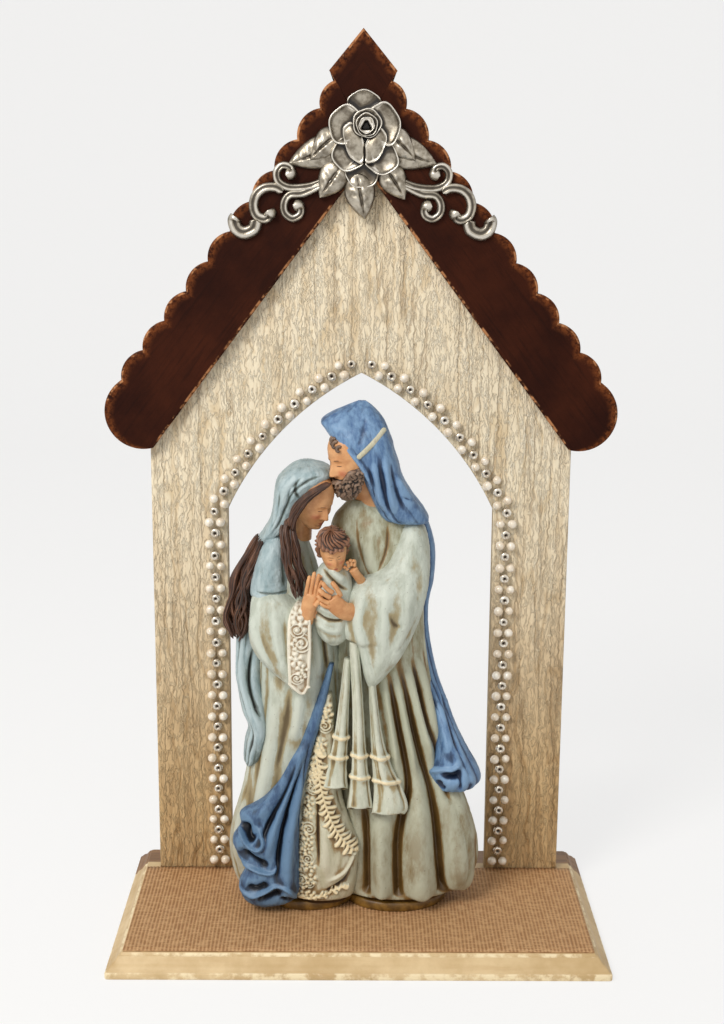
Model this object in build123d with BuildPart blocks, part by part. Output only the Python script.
from build123d import *
import os
from math import cos, pi, sin

# An arched devotional niche: moulded base, upright arch panel, scalloped gable roof, pearl trim,
# a cast rose ornament and a resin group of three robed figures on one plinth.
# Millimetres. X to the right, Y to the back, Z up, origin under the middle of the base.

# Base board and the ribbed sheet on it
base_width = 205.0
base_depth = 109.0
base_height = 9.0
moulding_flare = 5.8
moulding_foot = 3.0
moulding_quirk = 0.8
moulding_lip = 1.1
moulding_swell = 0.75
covering_thickness = 0.8
covering_margin = 0.9
covering_gap = 0.2

# Arch panel
panel_width = 180.0
panel_thickness = 6.0
panel_front = 29.0
opening_width = 114.6
springing_height = 176.0
apex_height = 235.5
arch_rise_bow = 7.0
gable_inset = 9.0
tenon_width = 18.0
tenon_depth = 6.0
tenon_play = 0.15

# Roof board
roof_thickness = 5.0
roof_slope = 53.1
ridge_height = 367.0
lobe_count = 9
lobe_pitch = 15.45
lobe_bow = 3.2
first_valley_x = 17.5
shoulder_lobe_bow = 2.4
board_width = 27.5
end_run = 15.3
end_side_run = 13.7
end_side_drop = 1.0
finial_height = 375.0
finial_half_width = 13.8
finial_shoulder = 358.5
finial_notch_half_width = 11.6
finial_notch = 354.6
roof_arris = 0.7

# Pearl trim
pearl_diameter = 4.0
pearl_spacing = 4.9
ring_diameter = 4.2
ring_bore = 1.6
ring_height = 2.6
trim_pitch = 9.75
trim_inset = 5.6
trim_start = 2.0
bead_sides = 6
pearl_ring_shares = ((0, 0.72), (0.4, 1.06), (0.92, 0.5))

# Rose ornament. Petals are ovals: middle (across, up), half width and half height as shares of the rose's
# radius, tilt in degrees, and height over the board as a share of the rose's depth.
rose_centre_height = 336.8
rose_radius = 15.4
rose_depth = 8.6
petal_crest_share = 0.66
petal_shares = (
    (0.0, 0.56, 0.45, 0.36, 0, 0.37),
    (-0.04, -1.23, 0.45, 0.38, 0, 0.34),
    (-0.38, -0.73, 0.47, 0.45, 29, 0.5),
    (0.45, -0.82, 0.49, 0.43, -29, 0.52),
    (-0.47, 0.01, 0.45, 0.53, -14, 0.6),
    (0.53, 0.04, 0.43, 0.58, 11, 0.63),
    (-0.25, -0.44, 0.25, 0.56, 18, 0.84),
    (0.3, -0.52, 0.26, 0.49, -24, 0.87),
)
bud_share = 0.36
bud_crest_share = 0.27
heart_share = 0.13
heart_depth = 4.0
heart_sides = 3
leaf_reach = 36.8
leaf_root_share = 0.45
leaf_width = 9.4
leaf_thickness = 2.6
leaf_crest_share = 0.25
leaf_fan_shares = ((270, 1.0), (236, 0.88), (304, 0.88), (210, 0.9), (330, 0.9))
scroll_wire = 2.6
scroll_thickness = 2.9
scroll_reach = 55.0
scroll_drop = 1.8
scroll_ball_share = 0.72
low_curl_shares = (
    (0.24, -0.40), (0.31, -0.47), (0.39, -0.51), (0.48, -0.51), (0.55, -0.55), (0.57, -0.62), (0.54, -0.68),
    (0.47, -0.69), (0.42, -0.65), (0.43, -0.59),
)
high_curl_shares = (
    (0.24, -0.39), (0.32, -0.43), (0.41, -0.46), (0.52, -0.45), (0.60, -0.41), (0.62, -0.34), (0.59, -0.28),
    (0.53, -0.26), (0.48, -0.31), (0.50, -0.36),
)
large_curl_shares = (
    (0.57, -0.49), (0.63, -0.45), (0.70, -0.45), (0.77, -0.51), (0.80, -0.59), (0.78, -0.67), (0.72, -0.71),
    (0.66, -0.69), (0.65, -0.64),
)
end_curl_shares = (
    (0.74, -0.73), (0.78, -0.78), (0.85, -0.81), (0.93, -0.79), (0.975, -0.735), (0.965, -0.67),
)
scroll_wire_shares = (1.0, 1.0, 1.08, 1.35)

# Figure group: its tables of shares count in 219ths of the group's height. Level sections give the
# height, the middle (across, back), the half width, the half depth and the depth of the folds.
group_height = 219.0
group_shares = 219
group_place = 0.0
plinth_share = 4.0
plinth_shares = ((-22, 3, 20, 16.5), (16, 3, 22, 17.5))
father_robe_shares = (
    (4, 18, 4, 23.5, 15.5, 1.4),
    (12, 21, 3.5, 27.5, 17.5, 1.7),
    (24, 22, 3.5, 28, 17, 1.7),
    (44, 21, 4, 25.5, 15, 1.5),
    (70, 15.5, 4.5, 23.5, 13.5, 1.2),
    (104, 10.5, 4, 19.5, 12.5, 0.7),
    (140, 11, 4, 19, 12, 0.1),
    (160, 13, 4, 17.5, 10.5, 0),
    (168, 11, 4, 14.5, 8.5, 0),
    (174, 6, 3, 7, 6, 0),
)
mother_gown_shares = (
    (4, -24, 3, 17, 13.5, 0.8),
    (13, -27, 3, 24, 16, 1.4),
    (25, -28, 3, 26, 16.5, 1.6),
    (42, -27, 3, 23.5, 15, 1.3),
    (68, -26, 3, 19, 13, 0.9),
    (98, -25.5, 3, 15.5, 11.5, 0.6),
    (124, -27, 3.5, 13, 10, 0.3),
    (142, -28.5, 3.5, 12, 9, 0.1),
    (154, -29, 3.5, 10, 8, 0),
    (163, -27, 3.5, 6, 5.5, 0),
)
head_shares = (
    (-0.5, 0.14, 0.10, 0.10),
    (-0.42, 0.10, 0.19, 0.22),
    (-0.22, 0.05, 0.29, 0.35),
    (0.0, 0.01, 0.335, 0.405),
    (0.2, -0.02, 0.345, 0.42),
    (0.38, -0.04, 0.26, 0.32),
    (0.47, -0.05, 0.12, 0.16),
)
nose_shares = ((-0.14, 0.44, 0.075), (0.06, 0.385, 0.04))
nose_sides = 3
nose_turn = 30
mother_neck_shares = ((-26, 3, 162, 5.5, 5.5), (-24, 2, 169, 4.6, 4.8), (-22, 0, 176, 4.5, 4.8))
father_neck_shares = ((5, 3, 170, 6.5, 6), (3, 2, 180, 5.6, 5.6), (0, 1, 190, 5.5, 5.6))
mother_hair_shares = (
    (-38, 8, 164, 6, 6),
    (-43, 8, 150, 7.5, 6.5),
    (-48, 6, 135, 6.5, 6),
    (-50, 5, 118, 4, 4),
)
mother_lock_shares = ((-28.5, -3, 171, 4.5, 4), (-29, -8, 158, 5, 4), (-28, -9, 140, 3.5, 3.5))
mother_veil_shares = (
    (156, -41, 5, 6, 8, 0.4),
    (166, -38, 5, 7.5, 10, 0.5),
    (176, -33, 4, 9.5, 11.5, 0.4),
    (185, -27.5, 1.5, 12.5, 12.5, 0.2),
    (191, -24, 0, 10.5, 11, 0.1),
    (194.5, -23, 0, 5, 6, 0),
)
mother_cape_shares = (
    (136, -38, 1, 8.5, 12, 0.3),
    (146, -38, 1, 8.3, 11.5, 0.2),
    (154, -36.5, 2, 7, 9.5, 0.1),
    (160, -34, 3, 4.5, 6.5, 0),
)
mother_mantle_shares = (
    (62, -46, 6, 3.5, 5, 0.4),
    (76, -44.5, 6, 6, 7, 0.7),
    (90, -45, 6, 5.5, 7.5, 0.5),
    (106, -46, 6, 6, 8, 0.5),
    (119, -45, 6, 6.5, 8, 0.3),
)
mother_sleeve_shares = (
    (101, -31, -9, 5, 4.5, 0.2),
    (108, -34, -7.5, 9, 7, 0.3),
    (118, -35, -6.5, 11.5, 8.5, 0.3),
    (128, -34.5, -6, 11, 8.5, 0.2),
    (137, -35.5, -4.5, 9.5, 8, 0.2),
    (144, -37, -2, 6.5, 6.5, 0),
)
mother_cuff_shares = (
    (97, -25, -11.5, 3.5, 3.5, 0.2),
    (105, -25.5, -12, 5.5, 5, 0.3),
    (118, -25.5, -12.5, 6, 5.5, 0.3),
    (130, -24.5, -12.5, 5.5, 5, 0.2),
    (137, -22.5, -12.5, 3, 3.5, 0),
)
mother_cloak_shares = (
    (4, -38, -8, 9, 6, 0.7),
    (12, -37.5, -9, 11.5, 7.5, 1.2),
    (26, -38, -9.5, 12.5, 7.5, 1.3),
    (45, -37.5, -9, 11, 7, 1.0),
    (60, -31.5, -9, 8.5, 5.5, 0.8),
    (76, -23.5, -9, 5.5, 4.5, 0.4),
    (96, -17, -8.5, 3.2, 3.6, 0.2),
    (108, -13.5, -8, 2.2, 3, 0),
)
mother_trim_shares = (
    (4, -15, -7, 11, 6.5, 0.7),
    (20, -14, -8.5, 12, 7, 1.0),
    (46, -14, -8, 10, 6, 0.7),
    (72, -13, -7.5, 7, 5, 0.4),
    (94, -11.5, -7, 3.5, 4, 0),
)
father_sleeve_shares = (
    (101, 5, -9, 4, 4, 0.2),
    (108, 7, -9.5, 8, 6.5, 0.3),
    (118, 10, -9.5, 13.5, 7.5, 0.4),
    (128, 10.5, -9, 16, 8, 0.3),
    (138, 11.5, -8, 16, 8.5, 0.2),
    (146, 18.5, -5, 12, 8.5, 0.1),
    (154, 24.5, -2, 7.5, 8.5, 0),
    (163, 25, 0, 6, 7.5, 0),
    (168, 23.5, 1, 4, 5, 0),
)
father_stole_shares = (
    (45, 6, -10.5, 7, 4.5, 0.5),
    (54, 3.5, -11, 13.5, 5.5, 0.9),
    (70, 1, -10.5, 12, 5, 0.8),
    (92, -1, -10, 8.5, 4.5, 0.6),
    (110, -2, -10, 6.5, 4, 0.3),
    (120, -3, -10, 5, 4, 0.2),
)
father_mantle_shares = (
    (53, 41, 7, 7, 6, 0.7),
    (60, 39.5, 8, 10.5, 8, 1.0),
    (74, 34, 11, 13, 9, 0.9),
    (94, 25, 13, 14, 8, 0.7),
    (118, 18, 13.5, 13.5, 7.5, 0.4),
    (142, 16, 13.5, 15, 7, 0.3),
    (160, 15, 12.5, 15, 6.5, 0.1),
    (170, 13, 11, 11, 6, 0),
)
father_headcloth_shares = (
    (169, 20, 4, 10.5, 10, 0.5),
    (176, 18, 4, 10, 10.5, 0.6),
    (186, 12.5, 4, 8, 10.5, 0.5),
    (197, 8, 2, 8, 11.5, 0.3),
    (207, -0.5, -1, 12.5, 12, 0.2),
    (214, -1, -1, 9, 9.5, 0.1),
    (218, 1, -0.5, 3, 4, 0),
)
father_headband_shares = ((-2.5, -11, 198, 1.2, 2.2), (4, -11.5, 203, 1.2, 2.4), (10, -8, 209, 1.2, 3))
father_beard_shares = (
    (-5, -3, 178, 3.2, 3),
    (-6.5, -3.5, 182, 6, 6),
    (-7.5, -3.5, 187, 7.2, 7.5),
    (-7.5, -3.5, 191, 5.5, 7),
)
mother_hands_shares = (
    (-21, -13, 130, 4, 3.5),
    (-20, -16, 137, 4.5, 3.8),
    (-17, -18, 144, 3.6, 3.4),
    (-15, -18, 150, 1.8, 2),
)
father_hand_shares = (
    (-4, -15, 134, 4.8, 3),
    (-9, -18.5, 137, 5, 3.2),
    (-12.5, -20, 142, 4, 2.6),
    (-14, -20, 147, 2, 1.6),
)
infant_swaddle_shares = (
    (118, -12, -9, 5, 5, 0.3),
    (130, -12, -11, 8, 7, 0.5),
    (144, -12, -11, 8, 7.5, 0.3),
    (152, -11.5, -10, 5.5, 5.5, 0.1),
)
infant_head_place_shares = (-11.5, -13, 159)
infant_head_lean_shares = (-0.08, -0.3)
infant_head_turn = -78.5
infant_head_share = 15.5
mother_head_place_shares = (-21.5, -3, 179)
mother_head_lean_shares = (0.12, -0.16)
mother_head_turn = -43
mother_head_share = 22
father_head_place_shares = (-2.5, -2, 196)
father_head_lean_shares = (-0.2, -0.12)
father_head_turn = 206
father_head_share = 25
infant_hair_shares = (
    (-11, -7, 158, 5, 5),
    (-11.5, -9, 163, 7.6, 7),
    (-11.8, -10.5, 167, 6.5, 5.5),
    (-11.8, -11, 169, 3, 2.5),
)
infant_hand_shares = ((-2, -10, 150, 2.6, 2.4), (-3, -13.5, 153, 3, 2.8), (-4, -15.5, 157, 1.6, 1.6))

base_top = base_height
covering_top = base_top + covering_thickness
roof_face = panel_front - roof_thickness
share_unit = group_height / group_shares


# Moulded board: the same edge profile runs along all four sides and is mitred at the corners
def moulding_profile(half_span):
    step = half_span - moulding_quirk
    lip = half_span - moulding_flare
    lip_base = base_height - moulding_lip
    middle_out = (step + lip + moulding_quirk) / 2
    middle_up = (moulding_foot + lip_base) / 2
    with BuildLine() as edge:
        Polyline((0, 0), (half_span, 0), (half_span, moulding_foot), (step, moulding_foot))
        SagittaArc((step, moulding_foot), (middle_out, middle_up), moulding_swell)
        SagittaArc((middle_out, middle_up), (lip + moulding_quirk, lip_base), -moulding_swell)
        Polyline((lip + moulding_quirk, lip_base), (lip, lip_base), (lip, base_height), (0, base_height))
        mirror(about=Plane.YZ)
    make_face(edge.edges())


tenon_x = (panel_width + opening_width) / 4
tenon_y = panel_front + panel_thickness / 2

with BuildPart() as base_board:
    with BuildSketch(Plane.XZ):
        moulding_profile(base_width / 2)
    extrude(amount=base_depth / 2, both=True)
    with BuildSketch(Plane.YZ):
        moulding_profile(base_depth / 2)
    extrude(amount=base_width / 2, both=True, mode=Mode.INTERSECT)
    with BuildSketch(Plane.XY.offset(base_top)):
        with Locations((-tenon_x, tenon_y), (tenon_x, tenon_y)):
            Rectangle(tenon_width + 2 * tenon_play, panel_thickness + 2 * tenon_play)
    extrude(amount=-tenon_depth - tenon_play, mode=Mode.SUBTRACT)

covering_front = moulding_flare - base_depth / 2 + covering_margin
covering_back = panel_front - covering_gap
with BuildPart() as base_covering:
    with BuildSketch(Plane.XY.offset(base_top)):
        with Locations((0, (covering_front + covering_back) / 2)):
            covering_width = base_width - 2 * moulding_flare - 2 * covering_margin
            Rectangle(covering_width, covering_back - covering_front)
    extrude(amount=covering_thickness)

# Upright panel: front face at panel_front, gable top hidden behind the roof board
panel_plane = Plane.XZ.offset(-panel_front - panel_thickness)
half_panel = panel_width / 2
half_opening = opening_width / 2
slope_direction = Vector(1, 0).rotate(Axis.Z, -roof_slope)
slope_rise = abs(slope_direction.Y / slope_direction.X)
gable_peak = ridge_height - gable_inset / slope_direction.X
gable_eave = gable_peak - half_panel * slope_rise

with BuildPart() as arch_panel:
    with BuildSketch(panel_plane):
        with BuildLine():
            Polyline(
                (half_opening, base_top),
                (half_panel, base_top),
                (half_panel, gable_eave),
                (0, gable_peak),
                (0, apex_height),
            )
            arch = SagittaArc((0, apex_height), (half_opening, springing_height), arch_rise_bow)
            Line((half_opening, springing_height), (half_opening, base_top))
        make_face()
        mirror(about=Plane.YZ)
    extrude(amount=panel_thickness)
    with BuildSketch(Plane.XY.offset(base_top)):
        with Locations((-tenon_x, tenon_y), (tenon_x, tenon_y)):
            Rectangle(tenon_width, panel_thickness)
    extrude(amount=-tenon_depth)

# Roof board: inverted V with round lobes along its upper edges and a spade finial on the ridge
first_valley = Vector(first_valley_x, ridge_height - first_valley_x * slope_rise)
valleys = [first_valley + slope_direction * (lobe_pitch * n) for n in range(lobe_count + 1)]
inner_normal = Vector(slope_direction.Y, -slope_direction.X)
inner_peak = ridge_height - board_width / slope_direction.X
end_side = valleys[-1] + slope_direction * end_side_run + inner_normal * end_side_drop
end_foot = valleys[-1] + slope_direction * end_run + inner_normal * board_width

with BuildPart() as roof_board:
    with BuildSketch(Plane.XZ.offset(-panel_front)):
        with BuildLine():
            Polyline(
                (0, inner_peak),
                (0, finial_height),
                (finial_half_width, finial_shoulder),
                (finial_notch_half_width, finial_notch),
            )
            SagittaArc((finial_notch_half_width, finial_notch), valleys[0], shoulder_lobe_bow)
            for upper, lower in zip(valleys, valleys[1:]):
                SagittaArc(upper, lower, lobe_bow)
            ThreePointArc(valleys[-1], end_side, end_foot)
            Line(end_foot, (0, inner_peak))
        make_face()
        mirror(about=Plane.YZ)
    extrude(amount=roof_thickness)
    front_rim = roof_board.faces().sort_by(Axis.Y)[0].edges()
    chamfer(front_rim, length=roof_arris)

# Pearl trim: its centre line runs up both legs of the opening and over the arch, on the panel's face
trim_side = half_opening + trim_inset
trim_bow = arch_rise_bow * (trim_side / half_opening)
trim_apex = apex_height + trim_inset * (trim_side / half_opening)
trim_foot = covering_top + pearl_diameter / 2 + trim_start
with BuildLine(Plane.XZ.offset(-panel_front)) as right_trim:
    leg = Line((trim_side, trim_foot), (trim_side, springing_height))
    SagittaArc((trim_side, springing_height), (0, trim_apex), -trim_bow)
trim_wire = right_trim.wire()
trim_groups = round(trim_wire.length / trim_pitch)


# A bead is a short stack of six-sided rings with its flat back on the panel
def bead_ring(height, radius):
    with BuildSketch(Plane.XZ.offset(height)) as ring:
        RegularPolygon(radius, bead_sides)
    return ring.sketch


with BuildPart() as pearl:
    pearl_radius = pearl_diameter / 2
    pearl_rings = [bead_ring(pearl_diameter * up, pearl_radius * out) for up, out in pearl_ring_shares]
    loft(pearl_rings, ruled=True)

with BuildPart() as ring_bead:
    with BuildSketch(Plane.XZ):
        RegularPolygon(ring_diameter / 2, bead_sides)
        RegularPolygon(ring_bore / 2, bead_sides, mode=Mode.SUBTRACT)
    extrude(amount=ring_height)


def trim_places(shift, across):
    places = []
    for group in range(trim_groups):
        share = (group + shift) / trim_groups
        point = trim_wire.position_at(share)
        run = trim_wire.tangent_at(share)
        side = Vector(run.Z, 0, -run.X)
        for step in across:
            place = point + side * step
            places.append((place.X, place.Y, place.Z))
    return places


pearl_places = trim_places(0, (-pearl_spacing / 2, pearl_spacing / 2))
ring_places = trim_places(0.5, (0,))
with BuildPart() as pearl_beads:
    with Locations(*pearl_places):
        add(pearl.part)
    mirror(about=Plane.YZ)
with BuildPart() as ring_beads:
    with Locations(*ring_places):
        add(ring_bead.part)
    mirror(about=Plane.YZ)


# Rose ornament on the roof's face: leaves and scrolls lie on the board, the flower stands over them
ornament_plane = Plane.XZ.offset(-roof_face)


# One level of a petal, out from the board and turned on it
def petal_oval(across, up, out, half_width, half_height, tilt):
    place = (across * rose_radius, rose_centre_height + up * rose_radius)
    with BuildSketch(ornament_plane.offset(out * rose_depth)) as oval:
        with Locations(place):
            Ellipse(half_width * rose_radius, half_height * rose_radius, rotation=tilt)
    return oval.sketch


with BuildPart() as rose_flower:
    for across, up, half_width, half_height, tilt, rise in petal_shares:
        foot = petal_oval(across, up, 0, half_width, half_height, tilt)
        crest_width = half_width * petal_crest_share
        crest_height = half_height * petal_crest_share
        loft([foot, petal_oval(across, up, rise, crest_width, crest_height, tilt)], ruled=True)
    bud_foot = petal_oval(0, 0, 0, bud_share, bud_share, 0)
    loft([bud_foot, petal_oval(0, 0, 1, bud_crest_share, bud_crest_share, 0)], ruled=True)
    with BuildSketch(ornament_plane.offset(rose_depth)):
        with Locations((0, rose_centre_height)):
            RegularPolygon(rose_radius * heart_share, heart_sides)
    extrude(amount=-heart_depth, mode=Mode.SUBTRACT)


# A leaf is a pointed oval that rises to a ridge along its middle
def leaf(angle, reach):
    direction = Vector(cos(angle), sin(angle))
    root = Vector(0, rose_centre_height) + direction * (reach * leaf_root_share)
    length = reach * (1 - leaf_root_share)
    place = Plane(ornament_plane.from_local_coords(root), x_dir=(cos(angle), 0, sin(angle)), z_dir=(0, -1, 0))
    with BuildSketch(place) as foot:
        with BuildLine():
            SagittaArc((0, 0), (length, 0), leaf_width / 2)
            SagittaArc((0, 0), (length, 0), -leaf_width / 2)
        make_face()
    inset = leaf_thickness / 2
    crest_bow = leaf_width * leaf_crest_share / 2
    with BuildSketch(place.offset(leaf_thickness)) as crest:
        with BuildLine():
            SagittaArc((inset, 0), (length - inset * 2, 0), crest_bow)
            SagittaArc((inset, 0), (length - inset * 2, 0), -crest_bow)
        make_face()
    return foot.sketch, crest.sketch


with BuildPart() as rose_leaves:
    for angle_degrees, length_share in leaf_fan_shares:
        foot, crest = leaf(angle_degrees * pi / 180, leaf_reach * length_share)
        loft([foot, crest], ruled=True)
    add(rose_flower.part, mode=Mode.SUBTRACT)


# A scroll is one round-ended wire that curls in on itself
def scroll_line(shares, width):
    top = rose_centre_height - scroll_drop
    points = [Vector(x * scroll_reach, top + z * scroll_reach) for x, z in shares]
    with BuildLine() as line:
        Spline(*points)
    with BuildSketch(ornament_plane) as band:
        trace(line.line, line_width=width)
        with Locations(line.line @ 0, line.line @ 1):
            Circle(width * scroll_ball_share)
    return band.sketch


scroll_routes = (low_curl_shares, high_curl_shares, large_curl_shares, end_curl_shares)
with BuildPart() as scroll_right:
    for route, wire_share in zip(scroll_routes, scroll_wire_shares):
        extrude(scroll_line(route, scroll_wire * wire_share), amount=scroll_thickness)
    add(rose_leaves.part, mode=Mode.SUBTRACT)
    add(rose_flower.part, mode=Mode.SUBTRACT)
with BuildPart() as scroll_left:
    add(scroll_right.part.mirror(Plane.YZ))


# Figure group. One share is one 219th of the group's height; places are counted from the middle of the
# base and from the top of the sheet under the plinth.
def spot(x, y, z):
    return Vector(x * share_unit, group_place + y * share_unit, covering_top + z * share_unit)


# A level section: an oval with soft folds all round it
def fold_section(height, middle_x, middle_y, half_width, half_depth, depth, folds):
    points = []
    for n in range(2 * folds):
        angle = pi * n / folds
        swell = depth if n % 2 == 0 else -depth
        across = (half_width + swell) * share_unit * cos(angle)
        along = (half_depth + swell) * share_unit * sin(angle)
        points.append((across, along))
    middle = spot(middle_x, middle_y, height)
    with BuildSketch(Plane(middle)) as section:
        with BuildLine():
            Spline(*points, periodic=True)
        make_face()
    return section.sketch


def draped(rows, folds):
    loft([fold_section(*row, folds) for row in rows])


# A limb, sleeve or lock: ovals square to a path, each with a half height and a half depth
def limb(rows):
    middles = [spot(*row[:3]) for row in rows]
    sections = []
    for n, row in enumerate(rows):
        before = middles[max(n - 1, 0)]
        after = middles[min(n + 1, len(rows) - 1)]
        place = Plane(middles[n], x_dir=(0, 1, 0), z_dir=(after - before) - Vector(0, (after - before).Y, 0))
        with BuildSketch(place) as section:
            Ellipse(row[4] * share_unit, row[3] * share_unit)
        sections.append(section.sketch)
    loft(sections)


# A head: ovals stacked along a tilted axis, with a plain wedge for the nose
def head(middle, lean, turn_degrees, height):
    axis = Vector(*lean, 1).normalized()
    face_turn = turn_degrees * pi / 180
    forward = Vector(cos(face_turn), sin(face_turn), 0)
    side = axis.cross(forward).normalized()
    ahead = side.cross(axis).normalized()
    sections = []
    for level, shift, half_width, half_length in head_shares:
        origin = middle + (axis * level + ahead * shift) * (height * share_unit)
        with BuildSketch(Plane(origin, x_dir=side, z_dir=axis)) as section:
            Ellipse(half_width * height * share_unit, half_length * height * share_unit)
        sections.append(section.sketch)
    loft(sections)
    nose = []
    for level, reach, size in nose_shares:
        origin = middle + (axis * level + ahead * reach) * (height * share_unit)
        with BuildSketch(Plane(origin, x_dir=side, z_dir=axis)) as section:
            RegularPolygon(size * height * share_unit, nose_sides, rotation=nose_turn)
        nose.append(section.sketch)
    loft(nose, ruled=True)


# What touches a piece cuts it, and only its main body stays
def cut_by(piece, *others):
    for other in others:
        add(other.part, mode=Mode.SUBTRACT)
    crumbs = piece.solids().sort_by(SortBy.VOLUME)[:-1]
    if crumbs:
        add(crumbs, mode=Mode.SUBTRACT)


with BuildPart() as figure_plinth:
    with BuildSketch(Plane(spot(0, 0, 0))):
        for x, y, half_width, half_depth in plinth_shares:
            with Locations((x * share_unit, y * share_unit)):
                Ellipse(half_width * share_unit, half_depth * share_unit)
    extrude(amount=plinth_share * share_unit)

with BuildPart() as father_robe:
    draped(father_robe_shares, folds=9)

with BuildPart() as mother_gown:
    draped(mother_gown_shares, folds=8)
    cut_by(mother_gown, father_robe)

with BuildPart() as mother_head:
    head(spot(*mother_head_place_shares), mother_head_lean_shares, mother_head_turn, mother_head_share)
    limb(mother_neck_shares)
    cut_by(mother_head, mother_gown)

with BuildPart() as father_head:
    head(spot(*father_head_place_shares), father_head_lean_shares, father_head_turn, father_head_share)
    limb(father_neck_shares)
    cut_by(father_head, father_robe, mother_head)

with BuildPart() as mother_veil:
    draped(mother_veil_shares, folds=4)
    cut_by(mother_veil, mother_head, mother_gown, father_head)

with BuildPart() as mother_hair:
    limb(mother_hair_shares)
    cut_by(mother_hair, mother_gown, mother_veil)

with BuildPart() as mother_lock:
    limb(mother_lock_shares)
    cut_by(mother_lock, mother_gown, mother_veil, mother_head)

with BuildPart() as mother_cape:
    draped(mother_cape_shares, folds=4)
    cut_by(mother_cape, mother_gown, mother_veil, mother_hair, mother_lock)

with BuildPart() as mother_mantle:
    draped(mother_mantle_shares, folds=4)
    cut_by(mother_mantle, mother_gown, mother_hair)

with BuildPart() as mother_sleeve:
    draped(mother_sleeve_shares, folds=4)
    cut_by(mother_sleeve, mother_gown, mother_cape, mother_hair, mother_mantle, mother_lock)

with BuildPart() as mother_cuff:
    draped(mother_cuff_shares, folds=4)
    cut_by(mother_cuff, mother_gown, mother_sleeve, mother_lock)

with BuildPart() as mother_cloak:
    draped(mother_cloak_shares, folds=4)
    cut_by(mother_cloak, mother_gown, mother_cuff, mother_sleeve)

with BuildPart() as mother_trim:
    draped(mother_trim_shares, folds=4)
    cut_by(mother_trim, mother_gown, mother_cloak, father_robe)

with BuildPart() as father_sleeve:
    draped(father_sleeve_shares, folds=4)
    cut_by(father_sleeve, father_robe, mother_gown, mother_cuff)

with BuildPart() as father_stole:
    draped(father_stole_shares, folds=5)
    cut_by(father_stole, father_robe, father_sleeve, mother_trim, mother_gown)

with BuildPart() as father_mantle:
    draped(father_mantle_shares, folds=5)
    cut_by(father_mantle, father_robe, father_sleeve)

with BuildPart() as father_headcloth:
    draped(father_headcloth_shares, folds=4)
    cut_by(father_headcloth, father_head, father_robe, father_mantle, father_sleeve)

with BuildPart() as father_headband:
    limb(father_headband_shares)
    cut_by(father_headband, father_headcloth, father_head)

with BuildPart() as father_beard:
    limb(father_beard_shares)
    cut_by(father_beard, father_head, father_robe, mother_head, mother_veil, father_headcloth)

with BuildPart() as mother_hands:
    limb(mother_hands_shares)
    cut_by(mother_hands, mother_cuff, mother_gown, mother_lock, mother_sleeve)

with BuildPart() as father_hand:
    limb(father_hand_shares)
    cut_by(father_hand, father_sleeve, mother_hands, father_robe)

with BuildPart() as infant_swaddle:
    draped(infant_swaddle_shares, folds=4)
    cut_by(infant_swaddle, mother_hands, father_hand, father_sleeve, father_robe, father_stole)
    cut_by(infant_swaddle, mother_gown, mother_cuff, mother_trim)

with BuildPart() as infant_head:
    head(spot(*infant_head_place_shares), infant_head_lean_shares, infant_head_turn, infant_head_share)
    cut_by(infant_head, infant_swaddle, father_robe, mother_head, mother_lock)

with BuildPart() as infant_hair:
    limb(infant_hair_shares)
    cut_by(infant_hair, infant_head, infant_swaddle, father_robe, mother_head, mother_lock, father_beard)

with BuildPart() as infant_hand:
    limb(infant_hand_shares)
    cut_by(infant_hand, infant_swaddle, infant_head, father_robe, father_sleeve)

os.makedirs("parts", exist_ok=True)
pieces = {
    "base_board": base_board,
    "base_covering": base_covering,
    "arch_panel": arch_panel,
    "roof_board": roof_board,
    "pearl_beads": pearl_beads,
    "ring_beads": ring_beads,
    "rose_flower": rose_flower,
    "rose_leaves": rose_leaves,
    "scroll_left": scroll_left,
    "scroll_right": scroll_right,
    "figure_plinth": figure_plinth,
    "father_robe": father_robe,
    "father_sleeve": father_sleeve,
    "father_stole": father_stole,
    "father_mantle": father_mantle,
    "father_headcloth": father_headcloth,
    "father_headband": father_headband,
    "father_head": father_head,
    "father_beard": father_beard,
    "father_hand": father_hand,
    "mother_gown": mother_gown,
    "mother_trim": mother_trim,
    "mother_cloak": mother_cloak,
    "mother_mantle": mother_mantle,
    "mother_cape": mother_cape,
    "mother_sleeve": mother_sleeve,
    "mother_cuff": mother_cuff,
    "mother_head": mother_head,
    "mother_hair": mother_hair,
    "mother_lock": mother_lock,
    "mother_veil": mother_veil,
    "mother_hands": mother_hands,
    "infant_swaddle": infant_swaddle,
    "infant_head": infant_head,
    "infant_hair": infant_hair,
    "infant_hand": infant_hand,
}
for name, piece in pieces.items():
    piece.part.label = name
    export_step(piece.part, f"parts/{name}.step")
